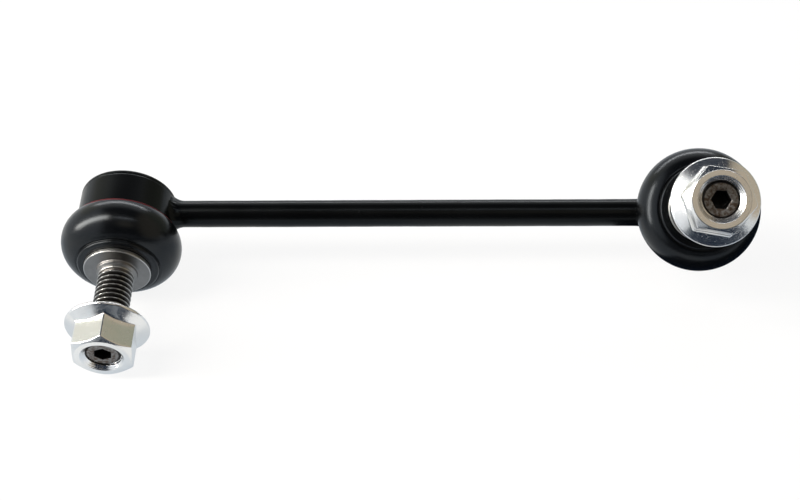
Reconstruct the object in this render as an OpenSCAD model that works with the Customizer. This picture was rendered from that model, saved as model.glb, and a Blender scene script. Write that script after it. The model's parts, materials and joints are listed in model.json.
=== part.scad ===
// Stabilizer link: a welded bar with a ball joint at each end, each with a threaded stud and a flange nut.
// Millimetres, Z up. X runs along the bar, and the origin is the middle of the left stud's seat.
// Each end is drawn along its own stud: height 0 is the bar's axis, and heights grow towards the stud's tip.

/* [Bar] */
// Distance between the two stud axes
centres = 160; // [120:1:260]
// Diameter of the round bar
bar_d = 7.6; // [6.6:0.1:7.8]
// Angle from the left stud to the right stud, seen along the bar
clocking = 54; // [35:1:70]
// Radius of the hollow weld fillet round each end of the bar
weld_r = 5; // [3:0.1:6]
// Height of the weld above the bar where it meets the housing
weld_h = 1.3; // [0.8:0.1:1.3]

/* [Ball joint] */
// Ball diameter
ball_d = 16; // [15:0.1:16.6]
// Distance of the ball's centre from the bar's axis
ball_at = 6.2; // [6:0.1:6.8]
// Running clearance between ball and bearing, on the radius
ball_gap = 0.05; // [0.02:0.01:0.1]
// Bearing wall at the ball's equator
bearing_wall = 2; // [1.8:0.1:2.4]
// Bearing floor behind the ball
bearing_floor = 0.85; // [0.7:0.05:1.1]
// How far the bearing reaches past the ball's equator
wrap = 3.6; // [3:0.1:3.8]
// Radius of the grease hole in the bearing's floor
grease_r = 2.5; // [1.5:0.1:3]

/* [Housing] */
// Steel wall round the bearing
housing_wall = 3.5; // [3.2:0.1:3.7]
// Rounding of the rolled rim
rim_round = 0.8; // [0.4:0.1:1.2]
// How far the rolled rim stands behind the cap
rim_over = 0.9; // [0.9:0.1:1.4]
// How far the rolled rim reaches in over the cap
rim_reach = 1.6; // [1.2:0.1:2.2]
// Cap thickness
cap_t = 1.6; // [1.4:0.1:1.9]
// Height of the pressed boss on the cap
cap_boss = 0.6; // [0.3:0.1:0.9]
// Radius of the pressed boss on the cap
cap_boss_r = 6; // [4:0.5:7]
// Radial assembly gap between still pieces
fit_gap = 0.02; // [0.01:0.01:0.04]
// Length of the housing in front of the ball's centre
nose = 5.8; // [5.5:0.1:6]
// Chamfer of the housing's front edge
front_chamfer = 0.6; // [0.3:0.1:0.8]
// Radius of the mouth that the stud swings in
mouth_r = 8.6; // [8.4:0.1:9]
// How much wider the mouth gets towards the front
mouth_flare = 0.8; // [0.4:0.1:1]
// How far the cap's seat is cut into the wall
cap_step = 0.8; // [0.6:0.1:1]

/* [Boot] */
// Height where the boot's upper ring starts
ring_at = 6.8; // [6.5:0.1:7]
// Thickness of the upper ring's flange and sleeve
ring_t = 0.75; // [0.6:0.05:0.8]
// Length of the upper ring's sleeve
ring_len = 3.8; // [3:0.1:4]
// Middle of the boot's bulge, from the stud's axis
bulge_at = 9.4; // [9.2:0.05:9.6]
// Radius of the boot's bulge
bulge_r = 7.4; // [7.2:0.05:7.6]
// Height of the middle of the bulge
bulge_h = 11.55; // [11.3:0.05:11.8]
// Rubber thickness
boot_wall = 1.5; // [1.2:0.1:1.7]
// Rounding of the boot's upper edge
boot_round = 0.8; // [0.5:0.1:1]
// Outer radius of the lower lip
lip_r = 11.4; // [11:0.1:11.8]
// Rounding of the lower lip
lip_round = 0.7; // [0.4:0.1:0.9]
// Radius of the crease above the lower lip
crease_r = 0.4; // [0.2:0.1:0.5]
// Clearance of the boot and its lower ring round the stud
boot_gap = 0.06; // [0.03:0.01:0.1]
// Thickness of the ring in the lower lip
lip_ring_t = 1; // [0.8:0.1:1.2]
// Length of the ring in the lower lip
lip_ring_len = 1.4; // [1:0.1:1.6]
// Rubber between that ring and the lip's end
lip_ring_in = 0.8; // [0.6:0.1:1]
// How far the lower lip reaches into the boot
lip_root = 1; // [0.8:0.1:1.2]

/* [Stud] */
// Neck radius
neck_r = 4.5; // [4:0.1:4.6]
// Length of the cone from the neck to the boot's seat
cone_len = 1.8; // [1.5:0.1:2]
// Radius of the boot's seat on the stud
boot_seat_r = 6.5; // [6.2:0.1:6.8]
// Collar radius
collar_r = 9.3; // [8.8:0.1:9.8]
// Collar thickness
collar_t = 1.25; // [1:0.05:1.5]
// Edge break of the collar
collar_edge = 0.25; // [0.1:0.05:0.4]
// Distance from the end of the boot's bulge to the collar's seat
seat_drop = 1.85; // [1.8:0.05:2.2]
// Radius of the shoulder at the start of the thread
shoulder_r = 5.7; // [5.4:0.1:6]
// Height of the shoulder
shoulder_h = 1.3; // [1.2:0.1:1.6]
// Thread diameter
thread_d = 10; // [10:0.1:10.1]
// Depth that the thread's last turns lie below the full diameter
lead_step = 0.2; // [0.18:0.01:0.25]
// Distance from the start of those turns to the nut
lead_gap = 0.3; // [0.2:0.1:0.5]
// Length of the stud from the collar's seat
stud_len = 27.5; // [27:0.1:29]
// Chamfer at the stud's tip
tip_chamfer = 0.6; // [0.4:0.1:0.8]
// Width across flats of the socket for a key
socket_af = 4.4; // [4:0.1:5]
// Depth of the socket
socket_depth = 5; // [4:0.5:6]
// Turn of the left stud's socket
socket_turn_left = 20; // [0:1:59]
// Turn of the right stud's socket
socket_turn_right = 57; // [0:1:59]

/* [Nut] */
// Width across flats
nut_af = 16; // [15:0.1:16.6]
// Nut height
nut_h = 10.6; // [10:0.1:11]
// Flange radius
flange_r = 11.5; // [11:0.1:11.8]
// Radius of the flange's rounded rim
flange_rim = 0.55; // [0.4:0.05:0.7]
// Height of the flange where it meets the hexagon
flange_h = 2.7; // [2.3:0.1:3]
// Distance of the flange's upper edge inside the hexagon's corners
flange_in = 0.6; // [0.4:0.1:0.8]
// Angle of the hexagon's chamfer
nut_chamfer = 30; // [25:1:32]
// Radius of the hexagon's top face
nut_top_r = 7.4; // [7:0.1:7.4]
// Radius of the countersink at each end of the nut's thread
sink_r = 5.95; // [5.6:0.05:6.2]
// Clearance of the nut's bore round the thread
nut_gap = 0.06; // [0.03:0.01:0.1]
// Distance that the nut's end stands past the stud's tip
nut_past = 1.3; // [0.5:0.1:1.6]
// Turn of the left nut
nut_turn_left = 23; // [0:1:59]
// Turn of the right nut
nut_turn_right = 50; // [0:1:59]

/* [Hidden] */
$fn = 96;
cut = 5;
ball_r = ball_d / 2;
bearing_r = ball_r + ball_gap + bearing_wall;
bore_r = bearing_r + fit_gap;
housing_r = bore_r + housing_wall;
cap_in = ball_at - ball_r - ball_gap - bearing_floor;
cap_out = cap_in - cap_t;
back = cap_out - rim_over;
cap_r = bore_r + cap_step;
rim_r = cap_r - rim_reach;
bearing_end = ball_at + wrap;
front = ball_at + nose;
ring_in = housing_r - ring_t + fit_gap;
ring_seat = ring_in - fit_gap;
sleeve_r = ring_in + ring_t;
boot_top = ring_at + ring_t;
boot_top_mid = boot_top + boot_round;
edge_mid = bulge_at + sqrt(pow(bulge_r - boot_round, 2) - pow(bulge_h - boot_top_mid, 2));
edge_end = bulge_h - (bulge_h - boot_top_mid) * bulge_r / (bulge_r - boot_round);
flange_out = edge_mid;
bead_in = sleeve_r + boot_gap;
bead_end = ring_at + ring_len;
seat_at = bulge_h + bulge_r + seat_drop;
collar_back = seat_at - collar_t;
lip_end = collar_back - boot_gap;
lip_start = bulge_h + bulge_r - boot_wall - lip_root;
lip_in = boot_seat_r + boot_gap;
lip_ring_at = lip_end - lip_ring_len - lip_ring_in;
cone_start = lip_start - cone_len;
cone_end = lip_start;
thread_r = thread_d / 2;
tip = seat_at + stud_len;
nut_end = tip + nut_past;
nut_start = nut_end - nut_h;
thread_end = nut_start - lead_gap;
lead_r = thread_r - lead_step;
nut_bore = thread_r + nut_gap;
hex_r = nut_af / sqrt(3);
hex_base = hex_r - flange_in;
hex_clear = 2 * hex_r;
socket_r = socket_af / sqrt(3);
bulge_max = bulge_at + bulge_r;
dip = asin((bulge_max - flange_r) / (nut_start + flange_rim - bulge_h));

// Places a piece of the left end
module at_left()
{
    translate([0, seat_at * cos(dip), seat_at * sin(dip)])
        rotate([90 + dip, 0, 0])
            children();
}

// Places a piece of the right end, which is the left end turned over
module at_right()
{
    translate([centres, seat_at * cos(dip), seat_at * sin(dip)])
        rotate([90 + dip - clocking, 0, 0])
            rotate([0, 0, 180])
                children();
}

// A ring's section between two radii and two heights
module band(r0, r1, h0, h1)
{
    translate([r0, h0])
        square([r1 - r0, h1 - h0]);
}

// The housing's outline, without its bores
module housing_outline()
{
    band(0, housing_r - rim_round, back, ring_at);
    band(0, housing_r, back + rim_round, ring_at);
    translate([housing_r - rim_round, back + rim_round])
        circle(rim_round);
    polygon([
        [0, ring_at],
        [ring_seat, ring_at],
        [ring_seat, front - front_chamfer],
        [ring_seat - front_chamfer, front],
        [0, front]
    ]);
}

// The housing's outside as a solid, for cutting what is welded to it
module housing_outside()
{
    rotate_extrude()
        intersection()
        {
            housing_outline();
            band(0, 2 * housing_r, back, front);
        }
}

// Socket that holds the bearing, closed at the back by its rolled rim and the cap
module housing()
{
    rotate_extrude()
        difference()
        {
            intersection()
            {
                housing_outline();
                band(0, 2 * housing_r, back, front);
            }
            band(-cut, rim_r, back - cut, cap_in);
            band(-cut, cap_r + fit_gap, cap_out, cap_in);
            band(-cut, bore_r, cap_out, bearing_end);
            polygon([
                [-cut, bearing_end - cut],
                [mouth_r, bearing_end - cut],
                [mouth_r, bearing_end],
                [mouth_r + mouth_flare, front + fit_gap],
                [-cut, front + fit_gap]
            ]);
        }
}

// Pressed cap that the rolled rim holds
module cap()
{
    rotate_extrude()
        polygon([
            [0, cap_in],
            [cap_r, cap_in],
            [cap_r, cap_out],
            [cap_boss_r, cap_out],
            [cap_boss_r - cap_boss, cap_out - cap_boss],
            [0, cap_out - cap_boss]
        ]);
}

// Plastic bearing round the ball
module bearing()
{
    rotate_extrude()
        difference()
        {
            band(0, bearing_r, cap_in, bearing_end);
            translate([0, ball_at])
                circle(ball_r + ball_gap);
            band(-cut, grease_r, cap_in - cut, ball_at);
        }
}

// Ring that the boot is moulded to, pressed on the housing: its edge is the red line
module boot_ring()
{
    rotate_extrude()
    {
        band(ring_in, sleeve_r, ring_at, bead_end);
        band(ring_in, flange_out, ring_at, boot_top);
    }
}

// The boot's outer outline: a bulge with a rounded upper edge, and the lower lip
module boot_outline()
{
    difference()
    {
        translate([bulge_at, bulge_h])
            circle(bulge_r);
        band(-cut, 2 * bulge_max, 0, boot_top);
        band(edge_mid, 2 * bulge_max, 0, edge_end);
        band(-cut, lip_in, 0, 2 * seat_at);
    }
    translate([edge_mid, boot_top_mid])
        circle(boot_round);
    band(lip_in, lip_r - lip_round, lip_start, lip_end);
    band(lip_in, lip_r, lip_start, lip_end - lip_round);
    translate([lip_r - lip_round, lip_end - lip_round])
        circle(lip_round);
}

// Rubber boot
module boot()
{
    rotate_extrude()
        difference()
        {
            boot_outline();
            difference()
            {
                translate([bulge_at, bulge_h])
                    circle(bulge_r - boot_wall);
                band(bead_in, 2 * bulge_max, 0, bead_end);
                band(lip_in - cut, 2 * bulge_max, lip_start, 2 * seat_at);
            }
            band(-cut, bead_in, 0, lip_start);
            band(-cut, lip_in + lip_ring_t + boot_gap, lip_ring_at, lip_ring_at + lip_ring_len);
            translate([lip_r + crease_r, bulge_h + sqrt(pow(bulge_r, 2) - pow(lip_r - bulge_at, 2))])
                circle(crease_r);
        }
}

// Steel ring in the boot's lower lip, which grips the stud
module lip_ring()
{
    rotate_extrude()
        band(lip_in, lip_in + lip_ring_t, lip_ring_at, lip_ring_at + lip_ring_len);
}

// Ball stud: ball, neck, boot seat, collar, thread and socket for a key
module stud(turn)
{
    difference()
    {
        rotate_extrude()
        {
            intersection()
            {
                translate([0, ball_at])
                    circle(ball_r);
                band(0, ball_d, ball_at - ball_d, ball_at + ball_d);
            }
            polygon([
                [0, ball_at],
                [neck_r, ball_at],
                [neck_r, cone_start],
                [boot_seat_r, cone_end],
                [boot_seat_r, collar_back],
                [collar_r - collar_edge, collar_back],
                [collar_r, collar_back + collar_edge],
                [collar_r, seat_at - collar_edge],
                [collar_r - collar_edge, seat_at],
                [shoulder_r, seat_at],
                [shoulder_r, seat_at + shoulder_h - shoulder_r + thread_r],
                [thread_r, seat_at + shoulder_h],
                [thread_r, thread_end],
                [lead_r, thread_end],
                [lead_r, tip - tip_chamfer],
                [lead_r - tip_chamfer, tip],
                [0, tip]
            ]);
        }
        translate([0, 0, tip - socket_depth])
            rotate([0, 0, turn])
                cylinder(r = socket_r, h = socket_depth + cut, $fn = 6);
    }
}

// Flange nut with a chamfered hexagon
module nut(turn)
{
    difference()
    {
        union()
        {
            rotate_extrude()
            {
                polygon([
                    [0, nut_start],
                    [flange_r - flange_rim, nut_start],
                    [flange_r - flange_rim, nut_start + 2 * flange_rim],
                    [hex_base, nut_start + flange_h],
                    [0, nut_start + flange_h]
                ]);
                translate([flange_r - flange_rim, nut_start + flange_rim])
                    circle(flange_rim);
            }
            intersection()
            {
                translate([0, 0, nut_start + flange_rim])
                    rotate([0, 0, turn])
                        cylinder(r = hex_r, h = nut_h - flange_rim, $fn = 6);
                rotate_extrude()
                    polygon([
                        [0, nut_start],
                        [hex_clear, nut_start],
                        [hex_clear, nut_end - (hex_clear - nut_top_r) * tan(nut_chamfer)],
                        [nut_top_r, nut_end],
                        [0, nut_end]
                    ]);
            }
        }
        rotate_extrude()
        {
            band(0, nut_bore, nut_start - cut, nut_end + cut);
            polygon([
                [0, nut_end - sink_r + nut_bore],
                [nut_bore, nut_end - sink_r + nut_bore],
                [sink_r + cut, nut_end + cut],
                [0, nut_end + cut]
            ]);
            polygon([
                [0, nut_start + sink_r - nut_bore],
                [nut_bore, nut_start + sink_r - nut_bore],
                [sink_r + cut, nut_start - cut],
                [0, nut_start - cut]
            ]);
        }
    }
}

// Round bar, its ends shaped to the housings
module bar()
{
    color([0.03, 0.03, 0.035])
        difference()
        {
            translate([0, seat_at * cos(dip), seat_at * sin(dip)])
                rotate([0, 90, 0])
                    cylinder(d = bar_d, h = centres);
            at_left()
                housing_outside();
            at_right()
                housing_outside();
        }
}

// Weld round the left end of the bar, drawn along the left end's own X
module weld()
{
    difference()
    {
        rotate([0, 90, 0])
            rotate_extrude()
                difference()
                {
                    band(bar_d / 2, bar_d / 2 + weld_r, 0, housing_r + weld_r);
                    translate([bar_d / 2 + weld_r, housing_r + weld_r])
                        circle(weld_r);
                    band(bar_d / 2 + weld_h, 2 * housing_r, 0, 2 * housing_r);
                }
        housing_outside();
    }
}

module weld_left()
{
    color([0.03, 0.03, 0.035])
        at_left()
            weld();
}

module weld_right()
{
    color([0.03, 0.03, 0.035])
        at_right()
            weld();
}

module housing_left()
{
    color([0.03, 0.03, 0.035])
        at_left()
            housing();
}

module housing_right()
{
    color([0.03, 0.03, 0.035])
        at_right()
            housing();
}

module cap_left()
{
    color([0.03, 0.03, 0.035])
        at_left()
            cap();
}

module cap_right()
{
    color([0.03, 0.03, 0.035])
        at_right()
            cap();
}

module bearing_left()
{
    color([0.85, 0.84, 0.78])
        at_left()
            bearing();
}

module bearing_right()
{
    color([0.85, 0.84, 0.78])
        at_right()
            bearing();
}

module boot_ring_left()
{
    color([0.35, 0.05, 0.06])
        at_left()
            boot_ring();
}

module boot_ring_right()
{
    color([0.35, 0.05, 0.06])
        at_right()
            boot_ring();
}

module boot_left()
{
    color([0.02, 0.02, 0.025])
        at_left()
            boot();
}

module boot_right()
{
    color([0.02, 0.02, 0.025])
        at_right()
            boot();
}

module lip_ring_left()
{
    color([0.4, 0.4, 0.42])
        at_left()
            lip_ring();
}

module lip_ring_right()
{
    color([0.4, 0.4, 0.42])
        at_right()
            lip_ring();
}

module stud_left()
{
    color([0.25, 0.23, 0.22])
        at_left()
            stud(socket_turn_left);
}

module stud_right()
{
    color([0.25, 0.23, 0.22])
        at_right()
            stud(socket_turn_right);
}

module nut_left()
{
    color([0.75, 0.77, 0.8])
        at_left()
            nut(nut_turn_left);
}

module nut_right()
{
    color([0.75, 0.77, 0.8])
        at_right()
            nut(nut_turn_right);
}

bar();
weld_left();
weld_right();
housing_left();
housing_right();
cap_left();
cap_right();
bearing_left();
bearing_right();
boot_ring_left();
boot_ring_right();
boot_left();
boot_right();
lip_ring_left();
lip_ring_right();
stud_left();
stud_right();
nut_left();
nut_right();
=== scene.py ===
# %% [markdown]
# A stabilizer link joins the end of a car's anti-roll bar to its suspension. It is a short painted bar
# with a ball joint at each end, and every ball joint has a rubber boot, a threaded stud and a flange nut.
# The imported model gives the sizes, the moving bodies and the joints. This lesson puts a fine skin on that
# frame, so nothing here is moved by eye: each piece is drawn along its own stud and then put in its
# place.

# %% Load the frame
import json
import math

import bmesh
import bpy
import numpy as np
from mathutils import Matrix, Vector


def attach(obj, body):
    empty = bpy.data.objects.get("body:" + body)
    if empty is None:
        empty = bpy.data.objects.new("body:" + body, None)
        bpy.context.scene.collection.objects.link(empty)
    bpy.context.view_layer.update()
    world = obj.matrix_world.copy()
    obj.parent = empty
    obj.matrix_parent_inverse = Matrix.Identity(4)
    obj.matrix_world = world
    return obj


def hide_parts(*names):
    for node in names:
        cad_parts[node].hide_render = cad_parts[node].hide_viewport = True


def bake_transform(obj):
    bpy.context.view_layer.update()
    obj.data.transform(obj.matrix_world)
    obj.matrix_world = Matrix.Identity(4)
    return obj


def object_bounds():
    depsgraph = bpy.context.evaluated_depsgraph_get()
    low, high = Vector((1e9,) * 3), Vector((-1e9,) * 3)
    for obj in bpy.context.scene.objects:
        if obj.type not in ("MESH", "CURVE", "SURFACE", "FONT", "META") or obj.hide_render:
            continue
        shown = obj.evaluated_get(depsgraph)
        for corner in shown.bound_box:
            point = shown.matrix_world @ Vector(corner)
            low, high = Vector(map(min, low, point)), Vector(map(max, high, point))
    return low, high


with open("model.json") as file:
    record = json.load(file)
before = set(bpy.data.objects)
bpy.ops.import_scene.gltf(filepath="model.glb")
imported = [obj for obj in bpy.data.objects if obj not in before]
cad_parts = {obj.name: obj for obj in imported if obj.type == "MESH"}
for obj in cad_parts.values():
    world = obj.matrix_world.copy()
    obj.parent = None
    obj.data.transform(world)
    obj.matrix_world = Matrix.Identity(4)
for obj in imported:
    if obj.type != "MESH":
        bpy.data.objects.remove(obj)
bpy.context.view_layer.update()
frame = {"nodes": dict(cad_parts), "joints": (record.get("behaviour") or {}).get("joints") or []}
joints = {joint["name"]: joint for joint in frame["joints"]}

# %% [markdown]
# Both ends are the same pieces, pointing different ways. An end has its own axes: height 0 is the middle
# of the bar, and heights grow along the stud, in millimetres. The stud's joint in the record gives the
# ball's centre and the direction of the stud, which is all that a placing matrix needs.

# %% Place the two ends
MM = 0.001
BALL_AT = 6.2
SIDES = ("left", "right")


def end_place(side):
    """The matrix that takes an end's own millimetres to the frame."""
    turn = joints[side + "_stud_turn"]
    up = Vector(turn["axis"]).normalized()
    along = Vector((1, 0, 0)) if side == "left" else Vector((-1, 0, 0))
    across = up.cross(along)
    place = Matrix((along, across, up)).transposed().to_4x4() @ Matrix.Scale(MM, 4)
    place.translation = Vector(turn["pos_m"]) - up * BALL_AT * MM
    return place


PLACE = {side: end_place(side) for side in SIDES}
for side in SIDES:
    print(side, "end starts at", [round(x, 5) for x in PLACE[side].translation])

# %% [markdown]
# Nearly every piece here is turned on a lathe or pressed round an axis, so it is an outline swept round
# the stud. Blender has a Screw modifier for that, but a small function of our own also lets the radius
# change round the axis, which the hexagons need. An outline is a list of (radius, height) points. Real
# edges are never knife sharp, so a helper turns each corner into a small arc.

# %% Outlines
CORNER_STEPS = 6


def arc(middle, radius, start, stop, steps):
    """Points on a circle between two angles in degrees: 0 points away from the axis, 90 along the stud."""
    angles = np.radians(np.linspace(start, stop, steps + 1))
    return [(middle[0] + radius * math.cos(a), middle[1] + radius * math.sin(a)) for a in angles]


def rounded(corners):
    """A closed outline through (radius, height, rounding) corners."""
    points = []
    for i, (r, h, q) in enumerate(corners):
        here = np.array((r, h), float)
        if q == 0:
            points.append((r, h))
            continue
        before = np.array(corners[i - 1][:2], float) - here
        after = np.array(corners[(i + 1) % len(corners)][:2], float) - here
        before /= np.linalg.norm(before)
        after /= np.linalg.norm(after)
        half = 0.5 * math.acos(np.clip(before @ after, -1, 1))
        middle = here + (before + after) / np.linalg.norm(before + after) * q / math.sin(half)
        first = here + before * q / math.tan(half) - middle
        last = here + after * q / math.tan(half) - middle
        turn = math.pi - 2 * half
        for s in np.linspace(0, 1, CORNER_STEPS + 1):
            p = (math.sin((1 - s) * turn) * first + math.sin(s * turn) * last) / math.sin(turn)
            points.append(tuple(middle + p))
    return points


def held(points, reach=0.07):
    """Adds a point close to both ends of each long straight, so that smooth shading stays flat along it."""
    out = []
    for a, b in zip(points, points[1:] + points[:1]):
        a = np.array(a, float)
        b = np.array(b, float)
        length = np.linalg.norm(b - a)
        out.append(tuple(a))
        if length > 5 * reach:
            out += [tuple(a + (b - a) * reach / length), tuple(b - (b - a) * reach / length)]
    return out


print("outlines ready,", CORNER_STEPS, "steps a corner")

# %% [markdown]
# The sweep makes one ring of points for each outline point and joins neighbouring rings with four-sided
# faces. Rings on the axis shrink to a single point, so doubles are merged afterwards, points without a
# face are deleted, and the normals are made to point outwards. Each point also keeps its radius and
# height as attributes: later the finishes read them, so turning marks, worn crests and the stud's painted
# highlights and painted shade follow the piece and not the room.

# %% Sweep an outline round an axis
ROUND = 180
MERGE = 0.002
SHARP = 40


def ring_grid(rows, steps=ROUND):
    """Points and faces of a swept skin. A row is (radius, height), each a number or one value a step."""
    turn = np.arange(steps) * 2 * math.pi / steps
    points = [np.stack([r * np.cos(turn), r * np.sin(turn), h + 0 * turn], 1) for r, h in rows]
    faces = []
    for i in range(len(rows) - 1):
        for j in range(steps):
            k = (j + 1) % steps
            faces.append((i * steps + j, i * steps + k, (i + 1) * steps + k, (i + 1) * steps + j))
    return np.concatenate(points), faces


def finish_mesh(name, points, faces, place, sharp=SHARP):
    """A closed mesh object from points in millimetres: merged, facing outwards, marked with its sizes."""
    mesh = bpy.data.meshes.new(name)
    mesh.from_pydata([tuple(p) for p in points], [], faces)
    work = bmesh.new()
    work.from_mesh(mesh)
    bmesh.ops.remove_doubles(work, verts=work.verts, dist=MERGE)
    spare = [point for point in work.verts if not point.link_faces]
    bmesh.ops.delete(work, geom=spare, context="VERTS")
    bmesh.ops.recalc_face_normals(work, faces=work.faces)
    work.to_mesh(mesh)
    work.free()
    local = np.empty(len(mesh.vertices) * 3)
    mesh.vertices.foreach_get("co", local)
    local = local.reshape(-1, 3)
    for key, values in (("radius", np.hypot(local[:, 0], local[:, 1])), ("height", local[:, 2])):
        mark = mesh.attributes.new(key, "FLOAT", "POINT")
        mark.data.foreach_set("value", values.astype(np.float32))
    mesh.transform(place)
    mesh.polygons.foreach_set("use_smooth", [True] * len(mesh.polygons))
    mesh.set_sharp_from_angle(angle=math.radians(sharp))
    piece = bpy.data.objects.new(name, mesh)
    bpy.context.scene.collection.objects.link(piece)
    return piece


def swept(name, rows, place, steps=ROUND, sharp=SHARP):
    """A swept closed skin as a mesh object: the last row is joined to the first."""
    points, faces = ring_grid(list(rows) + [rows[0]], steps)
    return finish_mesh(name, points, faces, place, sharp)


print("sweep ready,", ROUND, "steps a turn")

# %% [markdown]
# A finished piece is then settled: it gets its finish and the body that it moves with, and the CAD node
# that it stands for is hidden. A closed skin has exactly two faces at every edge, so counting the other
# edges shows whether a skin leaks.

# %% Settle a piece
def open_edges(piece):
    """How many edges of a piece don't have exactly two faces."""
    used = np.empty(len(piece.data.loops), dtype=np.int32)
    piece.data.loops.foreach_get("edge_index", used)
    return int((np.bincount(used, minlength=len(piece.data.edges)) != 2).sum())


made = []


def settle(piece, material, slot, body, *nodes):
    """Gives a piece its finish and the body it moves with, and hides the CAD nodes that it stands for."""
    piece.data.materials.clear()
    piece.data.materials.append(material)
    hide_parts(*nodes)
    if body:
        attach(piece, body)
    made.append(piece)
    return piece


print("pieces so far:", len(made))

# %% [markdown]
# A finish is a small node tree. Written node by node it gets long, so one class wraps a socket and lets
# Python's operators add the Math nodes. Its add method makes any other node: the settings go in first,
# because they can change which sockets a node has, and then the values and links.

# %% Node maths
class Wire:
    """An output socket of a node tree."""

    def __init__(self, tree, socket=None):
        self.tree = tree
        self.socket = socket

    def add(self, kind, settings=None, inputs=None, out=0):
        """Adds a node of this kind and gives back one of its outputs."""
        node = self.tree.nodes.new(kind)
        for key, value in (settings or {}).items():
            setattr(node, key, value)
        for key, value in (inputs or {}).items():
            if isinstance(value, Wire):
                self.tree.links.new(value.socket, node.inputs[key])
            else:
                node.inputs[key].default_value = value
        return Wire(self.tree, node.outputs[out] if len(node.outputs) else None)

    def math(self, operation, *others):
        """A Math node on this value and the others."""
        return self.add("ShaderNodeMath", {"operation": operation}, dict(enumerate((self,) + others)))

    def __add__(self, other):
        return self.math("ADD", other)

    def __radd__(self, other):
        return self.math("ADD", other)

    def __sub__(self, other):
        return self.math("SUBTRACT", other)

    def __rsub__(self, other):
        return self.add("ShaderNodeMath", {"operation": "SUBTRACT"}, {0: other, 1: self})

    def __mul__(self, other):
        return self.math("MULTIPLY", other)

    def __rmul__(self, other):
        return self.math("MULTIPLY", other)

    def __truediv__(self, other):
        return self.math("DIVIDE", other)

    def clamped(self, low, high):
        """This value mapped from low..high to 0..1 and cut off there."""
        smooth = {"interpolation_type": "SMOOTHSTEP"}
        return self.add("ShaderNodeMapRange", smooth, {0: self, 1: low, 2: high})

    def between(self, first, second):
        """A colour mixed from two by this value; a Mix node has its colours on sockets 6 and 7."""
        return self.add("ShaderNodeMix", {"data_type": "RGBA"}, {0: self, 6: first, 7: second}, out=2)


def own_spot(wire):
    """Object coordinates, which stay with the piece."""
    return wire.add("ShaderNodeTexCoord", out="Object")


def own_mark(wire, name):
    """One of the piece's own attributes, as a value."""
    return wire.add("ShaderNodeAttribute", {"attribute_name": name}, out="Fac")


print("node maths ready")

# %% [markdown]
# Every finish starts the same way: a Principled shader with its fixed numbers set straight on the
# sockets, and Object coordinates to hang noise on. A scale of 1000 there makes spots about a millimetre
# wide.

# %% Start a finish
SKIN_DEPTH = 0.2 * MM


def start_finish(name, **numbers):
    """A new material: itself, a wire in its tree, noise of a given scale, and a link to its shader."""
    material = bpy.data.materials.new(name)
    material.use_nodes = True
    tree = material.node_tree
    shader = tree.nodes["Principled BSDF"]
    for key, value in numbers.items():
        shader.inputs[key.replace("_", " ")].default_value = value
    wire = Wire(tree)
    spot = own_spot(wire)

    def noise(scale, detail, rough=0.55):
        return wire.add("ShaderNodeTexNoise", None,
                        {"Vector": spot, "Scale": scale, "Detail": detail, "Roughness": rough})

    def link(key, value):
        tree.links.new(value.socket, shader.inputs[key])

    return material, wire, noise, link


def bump(wire, height, strength, distance=SKIN_DEPTH):
    """A Bump node for a height field; the distance is in metres."""
    return wire.add("ShaderNodeBump", None, {"Strength": strength, "Distance": distance, "Height": height})


def shade(value, tint=(1.0, 1.0, 1.0)):
    """A colour from a grey level and a tint."""
    return (value * tint[0], value * tint[1], value * tint[2], 1.0)


print("bumps are", SKIN_DEPTH, "m deep unless a finish says otherwise")

# %% [markdown]
# The bar and the housings carry black dip paint: nearly black, half glossy, with a faint orange peel and
# the odd small nib where dust was caught. The specular level is set low and a little blue, because good
# black paint on a rough-blasted forging throws back little light.

# %% Black paint
black_paint, wire, noise, link = start_finish(
    "black_paint", Specular_IOR_Level=0.16, Specular_Tint=(0.82, 0.93, 1.0, 1.0))
clouds = noise(90, 4.0)
peel = noise(1500, 2.0)
nibs = wire.add("ShaderNodeTexVoronoi", None, {"Vector": own_spot(wire), "Scale": 260.0})
nib = 1 - nibs.clamped(0.02, 0.07)
link("Base Color", clouds.between(shade(0.0008, (0.95, 1.0, 1.05)), shade(0.0022, (0.95, 1.0, 1.08))))
link("Roughness", 0.2 + clouds * 0.1 + nib * 0.12)
link("Normal", bump(wire, peel * 0.4 + clouds * 0.6 + nib * 0.5, 0.1, 0.3 * MM))
print("finish:", black_paint.name)

# %% [markdown]
# The boots are moulded rubber. It is a bluish black with a soft sheen, and its skin is a little mottled
# from the mould and from handling, which shows in the roughness more than in the colour.

# %% Boot rubber
boot_rubber, wire, noise, link = start_finish(
    "boot_rubber", Specular_IOR_Level=0.33, Specular_Tint=(0.84, 0.92, 1.0, 1.0))
mottle = noise(160, 5.0, 0.6)
skin = noise(2600, 3.0)
link("Base Color", mottle.between(shade(0.0018, (0.9, 1.0, 1.15)), shade(0.0038, (0.9, 1.0, 1.2))))
link("Roughness", 0.18 + mottle * 0.1)
link("Normal", bump(wire, skin * 0.7 + mottle * 0.3, 0.12))
print("finish:", boot_rubber.name)

# %% [markdown]
# Between housing and boot sits a thin ring, coated red. Only its edge shows, so a matt coat with a little
# dirt is all it needs.

# %% Red ring coat
red_ring, wire, noise, link = start_finish("red_ring", Specular_IOR_Level=0.16)
dirt = noise(420, 4.0)
link("Base Color", dirt.between(shade(0.11, (1.0, 0.05, 0.09)), shade(0.05, (1.0, 0.07, 0.12))))
link("Roughness", 0.42 + dirt * 0.2)
link("Normal", bump(wire, dirt, 0.15))
print("finish:", red_ring.name)
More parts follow.
